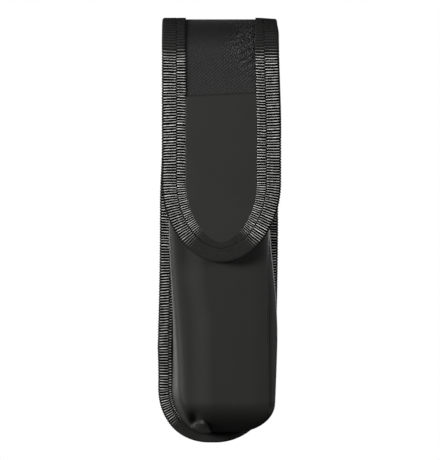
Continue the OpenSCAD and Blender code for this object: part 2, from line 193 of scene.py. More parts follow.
# A rail is a bound edge from one end to the other: points on the middle layer, the way into the face from the
# edge and the way out of the face.
def edgeRail(pitch, segments, side):
    radius = pouch["roofRadius"] - pouch["middle"]
    quarter = radius * math.pi / 2
    samples = 200
    if side > 0:   # round the back: two straight sides and a rounded foot
        r, w = pouch["cornerRadius"], pouch["halfWidth"]
        t = np.linspace(0, math.pi / 2, samples)
        foot = np.concatenate([columns(-(w - r) - r * np.cos(t), r - r * np.sin(t)),
                               columns((w - r) + r * np.sin(t), r - r * np.cos(t))])
        straight = pouch["roofZ"] - r
    else:   # round the flap: two straight sides and a half ellipse
        a, b = pouch["halfWidth"], pouch["flapRound"]
        t = np.linspace(0, math.pi, 2 * samples)
        foot = columns(-a * np.cos(t), pouch["flapTip"] + b - b * np.sin(t))
        straight = pouch["roofZ"] - foot[0, 1]
    along = lengthAlong(foot)
    half = quarter + straight
    total = 2 * half + along[-1]
    ribs = round(total / pitch)
    s = np.linspace(0, total, ribs * segments + 1)
    x = np.interp(s - half, along, foot[:, 0])
    z = np.interp(s - half, along, foot[:, 1])
    left, right = s < half, s > total - half
    onFoot = ~(left | right)
    p, n = profile(np.where(left, s, total - s), side, radius)
    p[onFoot, 2] = z[onFoot]
    p[onFoot, 1] = pouch["roofY"] + side * radius
    n[onFoot] = (0, side, 0)
    p[:, 0] = np.where(left, -pouch["halfWidth"], np.where(right, pouch["halfWidth"], x))
    d = np.gradient(columns(x, z), axis=0)
    d /= np.maximum(np.linalg.norm(d, axis=1, keepdims=True), 1e-9)
    inward = columns(-d[:, 1], 0, d[:, 0])
    inward[left] = (1, 0, 0)
    inward[right] = (-1, 0, 0)
    return {"s": s, "p": p, "out": n, "in": inward, "total": total, "phase": s / total * ribs, "foot": onFoot,
            "eased": True}


def inFrame(x, y, z):
    return tuple((np.array([x, y, z]) - origin) / 1000)


# The folds between bodies, each with its two bodies and two points on it; only their names are read, by mount.
folds = {
    "rear": ("pouch", "flap_roof", inFrame(0, pouch["backFace"], 181), inFrame(0, pouch["backFace"], 194)),
    "front": ("flap_roof", "flap", inFrame(0, pouch["flapFace"], 190), inFrame(0, pouch["flapFace"], 174)),
    "strap": ("pouch", "belt_strap", inFrame(0, 6.05, 172.5), inFrame(0, 6.05, 164.0)),
}


# A piece rides on one body, or over a fold it stays where it was built, with its transform baked in.
def mount(obj, holder, replaced=()):
    if holder in folds:
        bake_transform(obj)
    else:
        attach(obj, holder)
    if replaced:
        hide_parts(*replaced)


def toLinear(hexColour):
    if not isinstance(hexColour, str):
        return hexColour
    parts = [int(hexColour[i:i + 2], 16) / 255 for i in (1, 3, 5)]
    return [c / 12.92 if c <= 0.04045 else ((c + 0.055) / 1.055) ** 2.4 for c in parts] + [1.0]


def addNode(tree, kind, settings=None, links=None):
    node = tree.nodes.new(kind)
    for key, value in (settings or {}).items():
        if isinstance(key, int) or key in node.inputs:
            node.inputs[key].default_value = value
        else:
            setattr(node, key, value)
    for key, source in (links or {}).items():
        tree.links.new(source, node.inputs[key])
    return node


def newMaterial(name, settings):
    material = bpy.data.materials.new(name)
    material.use_nodes = True
    tree = material.node_tree
    shader = tree.nodes["Principled BSDF"]
    for key, value in settings.items():
        shader.inputs[key].default_value = value
    return material, tree, shader


def wired(material, shader, links):
    for key, source in links.items():
        material.node_tree.links.new(source, shader.inputs[key])
    return material


def objectCoords(tree):
    return addNode(tree, "ShaderNodeTexCoord").outputs["Object"]


# Patterns on object coordinates have their scale per metre, so a scale of 1000 gives features of 1 mm.
def noise(tree, vector, scale, detail=2.0, distortion=0.0):
    settings = {"Scale": scale, "Detail": detail, "Distortion": distortion}
    return addNode(tree, "ShaderNodeTexNoise", settings, {"Vector": vector}).outputs["Fac"]


# Noise drawn out along yarns of a width and a length in millimetres.
def yarnShade(tree, width, length):
    uv = addNode(tree, "ShaderNodeUVMap", {"uv_map": "grain"})
    yarn = addNode(tree, "ShaderNodeMapping", {"Scale": (1 / width, 1 / length, 1)}, {"Vector": uv.outputs["UV"]})
    return noise(tree, yarn.outputs["Vector"], 1.0)


# A ramp from a dark tone to a light one, between two values of a pattern.
def toneRamp(tree, pattern, dark, light, darkAt=0.0, lightAt=1.0):
    ramp = addNode(tree, "ShaderNodeValToRGB", None, {"Fac": pattern})
    low, high = ramp.color_ramp.elements
    low.position, low.color = darkAt, toLinear(dark)
    high.position, high.color = lightAt, toLinear(light)
    return ramp.outputs["Color"]


def mixTo(tree, share, colour, hexColour):
    settings = {"data_type": "RGBA", 7: toLinear(hexColour)}
    return addNode(tree, "ShaderNodeMix", settings, {0: share, 6: colour}).outputs[2]


def bumped(tree, height, strength, distance):
    settings = {"Strength": strength, "Distance": distance}
    return addNode(tree, "ShaderNodeBump", settings, {"Height": height}).outputs["Normal"]


def attribute(tree, name):
    return addNode(tree, "ShaderNodeAttribute", {"attribute_name": name}).outputs["Fac"]


# Black nylon grosgrain tape, woven with cords across it: each rib catches side light along its crest,
# because the filaments run over the rib and shine only square to their length.
# On top of that shading, a highlight is painted along each crest and shade is painted into the hollows between the
# cords.
def grosgrainNylon():
    material, tree, shader = newMaterial("grosgrainNylonWoven", {
        "IOR": 1.53, "Specular IOR Level": 0.06, "Anisotropic": 0.9})
    shade = yarnShade(tree, 0.32, 6.0)
    tone = toneRamp(tree, shade, "#222222", "#2d2d2c", 0.3, 0.7)
    crest, hollow = attribute(tree, "crest"), attribute(tree, "hollow")
    narrow = addNode(tree, "ShaderNodeMath", {"operation": "POWER", 1: 2.2}, {0: crest}).outputs["Value"]
    paintedCrestHighlight = mixTo(tree, narrow, tone, "#fafaf6")   # painted highlight along each cord's crest
    paintedHollowShade = mixTo(tree, hollow, paintedCrestHighlight, "#020202")   # painted shade, black between the cords
    rough = addNode(tree, "ShaderNodeMapRange", {"To Min": 0.42, "To Max": 1.0}, {"Value": hollow})
    tangent = addNode(tree, "ShaderNodeTangent", {"direction_type": "UV_MAP", "uv_map": "grain"})
    return wired(material, shader, {"Base Color": paintedHollowShade, "Roughness": rough.outputs["Result"],
                                    "Normal": bumped(tree, shade, 0.25, 0.00006),
                                    "Tangent": tangent.outputs["Tangent"]})


# Polyurethane-faced nylon twill over foam: a fine diagonal wale and a low, leathery sheen. Where it is creased
# it breaks up into 1 mm cells, and shade is painted darkest there.
def twillNylon():
    material, tree, shader = newMaterial("twillNylonCoated", {
        "Roughness": 0.55, "IOR": 1.5, "Specular IOR Level": 0.4, "Sheen Weight": 0.08, "Sheen Roughness": 0.4,
        "Sheen Tint": toLinear("#c0c0c0")})
    waleWidth = 0.0012   # in metres
    coords = objectCoords(tree)
    mapping = addNode(tree, "ShaderNodeMapping", {"Rotation": (0, math.radians(-48), 0)}, {"Vector": coords})
    turned = mapping.outputs["Vector"]
    wale = addNode(tree, "ShaderNodeTexWave", {"bands_direction": "X", "Scale": 2 * math.pi / 20 / waleWidth,
                                               "Distortion": 1.5, "Detail": 2.0}, {"Vector": turned})
    mix = addNode(tree, "ShaderNodeMath", {"operation": "MULTIPLY_ADD", 1: 0.5},
                  {0: wale.outputs["Fac"], 2: noise(tree, coords, 2600.0, 3.0)}).outputs["Value"]
    tone = toneRamp(tree, mix, "#0f0f0f", "#1b1b1a", 0.35)
    crackle = addNode(tree, "ShaderNodeTexVoronoi", {"feature": "DISTANCE_TO_EDGE", "Scale": 950.0}, {"Vector": turned})
    crease = attribute(tree, "crease")
    creaseShade = addNode(tree, "ShaderNodeMath", {"operation": "MULTIPLY", 1: 0.95}, {0: crease}).outputs["Value"]
    raised = addNode(tree, "ShaderNodeMath", {"operation": "MULTIPLY"}, {0: crackle.outputs["Distance"], 1: crease})
    leather = addNode(tree, "ShaderNodeBump", {"Strength": 1.0, "Distance": 0.0009},
                      {"Height": raised.outputs["Value"], "Normal": bumped(tree, mix, 0.8, 0.00018)})
    # painted shade: the creased band by the fold is darkened to near black
    creaseShadedTone = mixTo(tree, creaseShade, tone, "#010101")
    return wired(material, shader, {"Base Color": creaseShadedTone, "Normal": leather.outputs["Normal"]})


# Nylon laminate heat-moulded over foam: smooth, matte, with a very fine grain.
def mouldedNylon(name, dark, light):
    material, tree, shader = newMaterial(name, {
        "Roughness": 0.62, "IOR": 1.5, "Specular IOR Level": 0.25, "Sheen Weight": 0.03, "Sheen Roughness": 0.4,
        "Sheen Tint": toLinear("#cfc9c0")})
    coords = objectCoords(tree)
    grain, wide = noise(tree, coords, 3300.0), noise(tree, coords, 60.0, 3.0)
    mix = addNode(tree, "ShaderNodeMath", {"operation": "MULTIPLY_ADD", 1: 0.35}, {0: wide, 2: grain}).outputs["Value"]
    tone = toneRamp(tree, mix, dark, light, 0.3)
    return wired(material, shader, {"Base Color": tone, "Normal": bumped(tree, grain, 0.35, 0.00005)})


# Nylon webbing, plain woven: the weave is in the mesh and the yarns add a dry satin.
def webbingNylon():
    material, tree, shader = newMaterial("webbingNylonWoven", {
        "Roughness": 0.5, "IOR": 1.53, "Sheen Weight": 0.2, "Sheen Tint": toLinear("#b0b0b0")})
    shade = yarnShade(tree, 0.3, 3.0)
    tone = toneRamp(tree, shade, "#171717", "#2b2b2b", 0.3, 0.7)
    return wired(material, shader, {"Base Color": tone, "Normal": bumped(tree, shade, 0.3, 0.00006)})


# Brass blackened by oxide: dark, with a little brass showing where it rubs.
def blackenedBrass():
    material, tree, shader = newMaterial("brassBlackened", {"Metallic": 1.0, "Roughness": 0.35})
    wear = noise(tree, objectCoords(tree), 500.0, 6.0)
    tone = toneRamp(tree, wear, "#1c1b1a", "#4a4032", 0.55, 0.8)
    rough = addNode(tree, "ShaderNodeMapRange", {"To Min": 0.28, "To Max": 0.5}, {"Value": wear})
    return wired(material, shader, {"Base Color": tone, "Roughness": rough.outputs["Result"]})


# A dull material with one fine noise through it.
def plain(name, settings, noiseSettings, *tones, bump=None):
    material, tree, shader = newMaterial(name, settings)
    fleck = noise(tree, objectCoords(tree), *noiseSettings)
    if bump:
        tree.links.new(bumped(tree, fleck, *bump), shader.inputs["Normal"])
    return wired(material, shader, {"Base Color": toneRamp(tree, fleck, *tones)})


grosgrain, twill, webbing, brass = grosgrainNylon(), twillNylon(), webbingNylon(), blackenedBrass()
smoothFacing = mouldedNylon("nylonLaminatePressed", "#1f1f1e", "#292928")
moulded = mouldedNylon("nylonLaminateMoulded", "#1b1b1a", "#252524")
# Brushed nylon: soft, matte and slightly fuzzy.
lining = plain("liningNylonBrushed", {"Roughness": 0.85, "IOR": 1.5, "Sheen Weight": 0.4, "Sheen Roughness": 0.6,
                                      "Sheen Tint": toLinear("#9a9a9a")},
               (1800.0, 4.0, 0.6), "#161616", "#262626", 0.3, 0.75, bump=(0.5, 0.00012))
# Bonded nylon: a tight, slightly waxy twist.
thread = plain("threadNylonBonded", {"Roughness": 0.45, "IOR": 1.53, "Sheen Weight": 0.1},
               (4000.0,), "#0a0a0a", "#161616")
# Grey fibreboard and dark closed-cell foam, both sealed inside the layers.
board, foam = (plain(name, {"Roughness": 0.8, "IOR": 1.5}, (scale, 4.0), [c * 0.7 for c in base[:3]] + [1], base)
               for name, base, scale in (("fibreboardPressed", toLinear("#8d8a80"), 900.0),
                                         ("foamClosedCell", toLinear("#3a3a3a"), 1500.0)))
print("materials made")

tape = dict(
    pitch=1.28, segments=6, rib=0.36, easedRib=0.004, easeSpan=(0.58, 0.26),
    edgeRadius=1.2, body=0.6, innerEdge=0.45,
    seamDip=0.14, seamWidth=0.2, seamJog=0.26, jogOver=0.35, seamReach=0.8,
    wave=0.12, waveRate=0.4, waveTurn=1.3, waveOver=13.0, sway=0.07, uneven=0.1,
    crestSpan=(0.88, 0.11), edgeSpan=(0.3, 0.9), seamShade=0.5,
    foldSpan=(180.0, 7.0), foldCrest=0.86, foldHollow=0.6,
)


# One loop of the folded tape's section in distance from the edge, height and the way its face looks.
def tapeSection(frontWidth, frontHeight, backWidth, backHeight, seamAt):
    t = tape
    r = t["edgeRadius"]
    face = seamAt + (frontWidth - seamAt) * np.array([1.0, 0.82, 0.55, 0.3])
    groove = seamAt + np.array([0.45, 0.0, -0.35, -t["seamReach"]])
    towardEdge = r + (seamAt - t["seamReach"] - r) * np.array([0.66, 0.33])
    frontD = np.concatenate([face, groove, towardEdge])
    corner = np.linspace(0, math.pi / 2, 5)
    backD = np.linspace(r, backWidth, 6)[1:]
    d = np.concatenate([frontD, r - r * np.sin(corner), r - r * np.cos(corner), backD])
    h = np.concatenate([np.full(len(frontD), frontHeight), frontHeight - r + r * np.cos(corner),
                        -backHeight + r - r * np.sin(corner), np.full(len(backD), -backHeight)])
    nd = np.concatenate([np.zeros(len(frontD)), -np.sin(corner), -np.cos(corner), np.zeros(len(backD))])
    nh = np.concatenate([np.ones(len(frontD)), np.cos(corner), -np.sin(corner), -np.ones(len(backD))])
    return d, h, nd, nh


# Tape folded over an edge, with sizes as tapeSection takes them, for the whole rail or for each point of it.
# Its cords run across it; round a tight curve it is eased flat and they fade.
def foldedTape(name, part, rail, sizes, pleat=None):
    t = tape
    rows, uvRows, hollowShadeRows, crestHighlightRows = [], [], [], []
    sizes = [np.broadcast_to(size, len(rail["s"])) for size in sizes]
    seamAt = sizes[-1]
    cord = np.arange(int(rail["phase"][-1]) + 2)
    sway = np.interp(rail["phase"], cord, rng.normal(0, 1, len(cord)))
    tall = np.interp(rail["phase"], cord, rng.normal(0, 1, len(cord)))
    eased = np.ones(len(rail["s"]))
    if rail["eased"]:
        eased = rise(np.abs(rail["in"][:, 0]), t["easeSpan"])
    depth = t["easedRib"] + (t["rib"] - t["easedRib"]) * eased
    for i, (s, inward, out) in enumerate(zip(rail["s"], rail["in"], rail["out"])):
        d, h, nd, nh = tapeSection(*(size[i] for size in sizes))
        near = np.exp(-((d - seamAt[i]) / t["seamWidth"]) ** 2) * (np.abs(nh) > 0.9)
        drift = t["seamJog"] * np.tanh((d - seamAt[i]) / t["jogOver"]) + t["sway"] * sway[i]
        turn = t["waveTurn"] * math.sin(s / t["waveOver"])
        drift = drift + t["wave"] * np.sin(d * t["waveRate"] + turn) * (nh > 0.5)
        phase = rail["phase"][i] + drift
        rib = np.abs(np.sin(math.pi * phase))
        lift = depth[i] * (rib - 1) * (1 + t["uneven"] * tall[i]) - t["seamDip"] * near
        if pleat is not None:
            across = (s - pleat["s"] - pleat["slant"] * (d - pleat["slantFrom"])) / pleat["width"]
            lift = lift - pleat["depth"] * np.exp(-across ** 2) * rise(d, pleat["span"]) * (nh > 0.9)
        outerD, outerH = d + nd * lift, h + nh * lift
        pick = np.r_[len(d) - 1, len(d) - 4, 18, 14, 10, 6, 0]   # the section's points that its inside follows
        innerD = np.clip(d[pick] - nd[pick] * t["body"], t["innerEdge"], None)
        innerH = h[pick] - nh[pick] * t["body"]
        allD, allH = np.concatenate([outerD, innerD]), np.concatenate([outerH, innerH])
        rows.append(rail["p"][i] + allD[:, None] * inward + allH[:, None] * out)
        inside = np.zeros(len(pick))
        u = np.concatenate([np.cumsum(np.r_[0, np.hypot(np.diff(d), np.diff(h))]), inside])
        v = np.concatenate([phase, inside + rail["phase"][i]]) * t["pitch"]
        uvRows.append(columns(u, v))
        share = depth[i] / t["rib"]
        fold = rise(rail["p"][i][2], t["foldSpan"])   # over the fold the painted highlight and shade fade, as less light reaches the cords there
        lit = share * (1 - t["foldCrest"] * fold)
        # bright is the painted highlight on each crest; dark is the painted shade in the hollows and along the seam.
        crest = rise(rib, t["crestSpan"])
        dark = np.clip((1 - crest) * share * (1 - t["foldHollow"] * fold) + t["seamShade"] * near, 0, 1)
        hollowShadeRows.append(np.concatenate([dark, inside]))
        bright = crest * lit * (1 - near) * rise(d, t["edgeSpan"])
        crestHighlightRows.append(np.concatenate([bright, inside]))
    obj = skin(name, np.array(rows), grosgrain, part, np.array(uvRows))
    setAttribute(obj, "hollow", hollowShadeRows)
    setAttribute(obj, "crest", crestHighlightRows)
    return obj


# One stitch is a short thread, thick and raised in the middle and sunk into the cloth at its ends.
seam = dict(
    stitch=2.6, gap=0.55, first=0.4, radius=0.24, rise=0.12, sides=6,
    at=np.array([0, 0.1, 0.3, 0.5, 0.7, 0.9, 1.0]), thick=np.array([0.35, 0.8, 1, 1, 1, 0.8, 0.35]),
    raised=np.array([-1.5, -0.4, 0.7, 1, 0.7, -0.4, -1.5]),
)


# Stitches of bonded thread along a line of points, each with the way out of the cloth there.
def stitches(name, points, outs, holder, replaced=(), part="back", highest=None):
    m = seam
    points, outs = settle(points, part), np.asarray(outs, float)
    along = lengthAlong(points)
    verts, faces = [], []
    ring = np.linspace(0, 2 * math.pi, m["sides"] + 1)[:-1]
    thick, rise = m["radius"] * m["thick"], m["rise"] * m["raised"]
    for start in np.arange(m["first"], along[-1] - m["stitch"], m["stitch"] + m["gap"]):
        t = start + m["stitch"] * m["at"]
        centre = np.stack([np.interp(t, along, points[:, k]) for k in range(3)], -1)
        if highest is not None and centre[len(t) // 2, 2] > highest:
            continue
        out = np.stack([np.interp(t, along, outs[:, k]) for k in range(3)], -1)
        way = centre[-1] - centre[0]
        way = way / np.linalg.norm(way)
        out = out - (out @ way)[:, None] * way
        out = out / np.linalg.norm(out, axis=1, keepdims=True)
        side = np.cross(way, out)
        faces += tubeFaces(len(t), m["sides"], len(verts))
        for k in range(len(t)):
            for a in ring:
                upward = rise[k] + thick[k] * math.sin(a)
                verts.append(centre[k] + out[k] * upward + side[k] * thick[k] * math.cos(a))
    mount(makeMesh(name, np.array(verts), faces, thread), holder, replaced)


flapRail = edgeRail(tape["pitch"], tape["segments"], -1)
flapTape = dict(
    width=11.3, tipWidth=9.95, tipSpread=20.0, point=0.8, pointOver=8.0,
    backWidth=9.8, height=2.25, seam=7.0, seamEdge=2.6,
    pleat=dict(depth=0.12, fromTip=13.0, slant=0.5, slantFrom=8.0, width=0.5, span=(4.5, 2.5)),
)
fromTip = flapRail["s"] - flapRail["total"] / 2
narrowing = np.exp(-(fromTip / flapTape["tipSpread"]) ** 2)
flapWidth = flapTape["width"] - (flapTape["width"] - flapTape["tipWidth"]) * narrowing
# The window that the tape leaves comes to a slight point at the tip.
flapWidth = flapWidth - flapTape["point"] * np.clip(1 - np.abs(fromTip) / flapTape["pointOver"], 0, 1)
flapSeam = np.minimum(flapTape["seam"], flapWidth - flapTape["seamEdge"])
flapPleat = dict(flapTape["pleat"], s=flapRail["total"] / 2 + flapTape["pleat"]["fromTip"])
flapSizes = (flapWidth, flapTape["height"], flapTape["backWidth"], flapTape["height"], flapSeam)
flapBinding = foldedTape("flapBinding", "flap", flapRail, flapSizes, flapPleat)

backRail = edgeRail(tape["pitch"], tape["segments"], 1)
backTape = dict(
    rearWidth=11.0, rearHeight=2.25, upperWidth=11.0, sideWidth=6.6, footWidth=4.4,
    step=3.85, rearSeam=4.2, frontSeam=0.78, aboveMouth=1.0, stepOver=4.0, widthOver=2.0
)
# Below the pocket's mouth the tape is narrower in front, and stands higher, over the pocket's rim.
belowMouth = pouch["mouth"] + backTape["aboveMouth"] - backRail["p"][:, 2]
footShare = np.clip(np.abs(backRail["in"][:, 0]), 0, 1)
lowWidth = backTape["footWidth"] + (backTape["sideWidth"] - backTape["footWidth"]) * footShare
frontWidth = backTape["upperWidth"] + (lowWidth - backTape["upperWidth"]) * smooth(belowMouth / backTape["widthOver"])
frontStep = (backTape["step"] - backTape["rearHeight"]) * smooth(belowMouth / backTape["stepOver"])
frontHeight = backTape["rearHeight"] + frontStep
# The section's first face is the front one here.
frontRail = dict(backRail, out=-backRail["out"])
frontSeam = frontWidth * backTape["frontSeam"]
backSizes = (frontWidth, frontHeight, backTape["rearWidth"], backTape["rearHeight"], frontSeam)
backBinding = foldedTape("edgeBinding", "back", frontRail, backSizes)
mount(flapBinding, "front", ["flap_binding"])
mount(backBinding, "rear", ["edge_binding", "roof_binding"])
print("binding tapes made")

# Depths of each layer's two faces under the cover's outside, and how far the layers stay in from the edge.
layers = dict(
    cover=(0.0, 0.9), core=(0.95, 2.35), lining=(2.4, 3.0), inset=0.9, boardInset=1.6,
    boardTop=180.8, foamFoot=182.6, roofGap=0.06, edgeGap=0.05
)


# Half the width of the back (side 1) or of the flap (side -1) at a height.
def halfAt(z, side, inset):
    if side > 0:
        w, r = pouch["halfWidth"] - inset, pouch["cornerRadius"] - inset
        h = z - inset
        return np.where(h >= r, w, w - r + np.sqrt(np.clip(r * r - np.clip(r - h, 0, r) ** 2, 0, None)))
    w, b = pouch["halfWidth"] - inset, pouch["flapRound"] - inset
    centre = pouch["flapTip"] + pouch["flapRound"]
    return np.where(z >= centre, w, w * np.sqrt(np.clip(1 - ((centre - z) / b) ** 2, 0, None)))


# A layer of the back (side 1) or of the flap (side -1).
def layer(name, side, kind, material, inset=layers["inset"], startZ=None, endZ=None, shape=None, cols=49,
          stepLength=1.0):
    outer, inner = (pouch["roofRadius"] - depth for depth in layers[kind])
    if endZ is None:
        endZ = (inset if side > 0 else pouch["flapTip"] + inset) + layers["edgeGap"]
    quarter = outer * math.pi / 2
    length = quarter + pouch["roofZ"] - endZ
    first = layers["roofGap"] if startZ is None else quarter + pouch["roofZ"] - startZ
    s = np.linspace(first, length, int((length - first) / stepLength) + 2)
    u = np.linspace(-1, 1, cols)
    outPoint, normal = profile(s, side, outer)
    innerS = s * np.where(s < quarter, inner / outer, 1) + np.where(s < quarter, 0, (inner - outer) * math.pi / 2)
    inPoint, _ = profile(innerS, side, inner)
    half = halfAt(outPoint[:, 2], side, inset)
    rows = []
    for i in range(len(s)):
        x = u * half[i]
        face = columns(x, outPoint[i, 1], outPoint[i, 2])
        if shape is not None:
            face = face + normal[i] * shape(x, s[i])[:, None]
        rows.append(slab(x, face[:, 1], face[:, 2], inPoint[i, 1], inPoint[i, 2]))
    return skin(name, np.array(rows), material, "back" if side > 0 else "flap", flip=side > 0)


creases = dict(
    fanDepth=0.5, fanPitch=3.1, fanAt=24.0, fanOver=9.0, start=2.0, over=14.0, power=1.2,
    slope=0.35, slopeFrom=17.0, wander=0.5, sag=0.25, sagAt=32.0, sagOver=14.0, sagHalf=18.0,
    halfWidth=17.3, creaseShadeFrom=-2.0, creaseShadeAt=190.0, creaseShadeOver=14.0,
)


# The right-hand tape has pulled a fan of creases into the cloth by the fold, and the foam sags below it.
def clothRelief(x, s):
    c = creases
    fromRight = np.clip((x - c["start"]) / c["over"], 0, 1)
    wander = 1.1 * np.sin(x * 0.55) + 0.5 * np.sin(s * 0.9 + x)
    turn = 2 * math.pi * (s + c["slope"] * (x - c["slopeFrom"]) + wander * c["wander"]) / c["fanPitch"]
    fan = c["fanDepth"] * np.sin(turn) * fromRight ** c["power"]
    fan = fan * np.exp(-((s - c["fanAt"]) / c["fanOver"]) ** 2)
    sag = -c["sag"] * np.exp(-((s - c["sagAt"]) / c["sagOver"]) ** 2) * (1 - (x / c["sagHalf"]) ** 2)
    return np.where(np.abs(x) < c["halfWidth"], fan + sag, 0)


backCloth = layer("backCloth", 1, "cover", twill)
flapCloth = layer("flapCloth", -1, "cover", twill, shape=clothRelief, cols=141, stepLength=0.45)
backBoard, flapBoard = (layer(name, side, "core", board, inset=layers["boardInset"], startZ=layers["boardTop"])
                        for name, side in (("backBoard", 1), ("flapBoard", -1)))
rearFoam, frontFoam = (layer(name, side, "core", foam, endZ=layers["foamFoot"])
                       for name, side in (("rearRoofFoam", 1), ("frontRoofFoam", -1)))
backLining = layer("backLining", 1, "lining", lining)
flapLining = layer("flapLining", -1, "lining", lining)
# Where the cloth creases by the fold on its right, its colour is darkened as painted shade.
spots = np.array([v.co for v in flapCloth.data.vertices]) * 1000 + origin
creaseShade = np.clip((spots[:, 0] - creases["creaseShadeFrom"]) / creases["over"], 0, 1)
setAttribute(flapCloth, "crease", creaseShade * np.exp(-((spots[:, 2] - creases["creaseShadeAt"]) / creases["creaseShadeOver"]) ** 2))
mount(backCloth, "rear", ["back_cover"])
mount(flapCloth, "front", ["flap_cover", "roof_cover"])
mount(backBoard, "pouch", ["back_board"])
mount(flapBoard, "flap", ["flap_board"])
mount(rearFoam, "rear")
mount(frontFoam, "front", ["roof_foam"])
mount(backLining, "rear", ["back_lining"])
mount(flapLining, "front", ["flap_lining", "roof_lining"])
print("cloth panels made")

facing = dict(
    top=164.0, topSlope=0.045, slopeFrom=140.0, thick=0.55, gap=-0.5, rim=0.8, crown=0.3,
    crownHalf=18.0, topRim=1.6, footRim=0.8, lift=0.05, backGap=0.03
)


# The facing fills the window that the flap's tape leaves, up to its own raised top edge.
def facingRows():
    f = facing
    edge = flapRail["p"] + flapRail["in"] * (flapWidth + f["gap"])[:, None]
    keep = (edge[:, 2] < f["top"]) & (flapRail["foot"] | (flapRail["p"][:, 2] < f["top"]))
    edge = edge[keep][::2]
    middle = len(edge) // 2
    left, right = edge[:middle], edge[middle:][::-1]
    zLevels = f["top"] - (f["top"] - edge[:, 2].min()) * np.sin(np.linspace(0, math.pi / 2, 90))
    xLeft = np.interp(-zLevels, -left[:, 2], left[:, 0])
    xRight = np.interp(-zLevels, -right[:, 2], right[:, 0])
    base = pouch["roofY"] - pouch["roofRadius"]
    u = np.sin(np.linspace(-math.pi / 2, math.pi / 2, 61))
    slopeOver = f["top"] - f["slopeFrom"]
    rows = []
    for k, z in enumerate(zLevels):
        x = (xLeft[k] + xRight[k]) / 2 + u * (xRight[k] - xLeft[k]) / 2
        zz = z + f["topSlope"] * x * np.clip((z - f["slopeFrom"]) / slopeOver, 0, 1)
        side = np.minimum(x - xLeft[k], xRight[k] - x)
        below, above = (z - zLevels[-1]) * f["footRim"], (f["top"] - z) * f["topRim"]
        rim = np.clip(np.minimum(np.minimum(side, below), above) / f["rim"], 0, 1)
        crown = f["crown"] * (1 - (x / f["crownHalf"]) ** 2) * rim
        height = f["lift"] + f["thick"] * np.sqrt(1 - (1 - rim) ** 2) + crown
        rows.append(slab(x, base - height, zz, base - f["backGap"], zz[::-1]))
    return np.array(rows)


flapFacing = skin("flapFacing", facingRows(), smoothFacing, "flap")
mount(flapFacing, "flap", ["flap_facing"])
print("facing made")

pocket = dict(
    half=pouch["pocketHalf"], depth=pouch["pocketDepth"], tuck=3.0, root=4.8, wall=2.0,
    leftRadius=21.5, rightRadius=13.5, toe=15.0, toePower=1.9, square=15.0, round=21.5
)


# Heights over the pocket's root: close together round its foot and evenly spaced above.
def pocketLevels(low, high, footRows, wallRows):
    foot = low * (1 - np.cos(np.linspace(0, math.pi / 2, footRows)[1:]))
    return np.concatenate([foot, np.linspace(low, high, wallRows)[1:]])


# The pocket's section from its right root round the front to its left one, at height h over the root.
def pocketRow(h, wall, count):
    k = pocket
    d = k["depth"] - wall
    share = min(h / k["toe"], 1)
    depth = d * (1 - (1 - share) ** k["toePower"]) ** (1 / k["toePower"])
    i = np.linspace(0, 1, 900)
    angle = math.pi * i * i * (3 - 2 * i)
    n = 2 / k["square"]
    cosine, sine = np.cos(angle), np.sin(angle)
    halves = []
    for radius in (k["rightRadius"], k["leftRadius"]):
        w, r = k["half"] - wall, radius - wall
        halves.append(w if h >= r else w - r + math.sqrt(max(r * r - (r - h) ** 2, 0)))
    w = np.where(cosine >= 0, halves[0], halves[1])
    y = depth * np.clip(sine, 0, 1) ** n
    tuck = k["tuck"] * w / k["half"] * (1 - y / depth) ** 2
    x = np.sign(cosine) * (np.abs(cosine) ** n * w - tuck)
    return evenly(columns(x, -y, k["root"] + wall + h), count)


# Closed loops: out along the pocket's section and back along one further in.
def pocketLoops(levels, wall, count, innerLevels, innerWall, innerCount):
    return np.array([np.concatenate([pocketRow(h, wall, count), pocketRow(innerH, innerWall, innerCount)[::-1]])
                     for h, innerH in zip(levels, innerLevels)])


# What use has pressed into the moulded front: a step down its right side, a softer one down its left, and a
# dimple at its left foot.
dents = dict(
    foldX=21.75, foldStep=1.05, foldWidth=0.9, foldWave=0.2, waveOver=13.0,
    flank=0.7, flankOver=8.0, foldTop=(106.0, 8.0), foldFoot=(13.0, 5.0),
    stepX=-9.4, stepOver=11.0, step=1.15, shift=3.2, shiftSpan=(56.0, 22.0), stepTop=(110.0, 18.0),
    dimple=2.6, dimpleX=-12.9, dimpleZ=11.4, dimpleHalfX=2.3, dimpleHalfZ=2.9,
    frontSpan=(12.0, 8.0), footSpan=(1.2, 3.0),   # depths in front of the back
)
# Beside the dimple the foot is pressed to a flat facet, between two slanting lines.
facet = dict(
    x=-12.0, y=-20.0, z=10.8, slopeX=0.6, slopeZ=1.1, top=(9.6, 1.6),
    rightX=-8.0, rightZ=10.3, rightSlope=0.58, rightOver=1.0,
    leftX=-15.8, leftZ=6.8, leftSlope=1.2, leftOver=1.4,
)


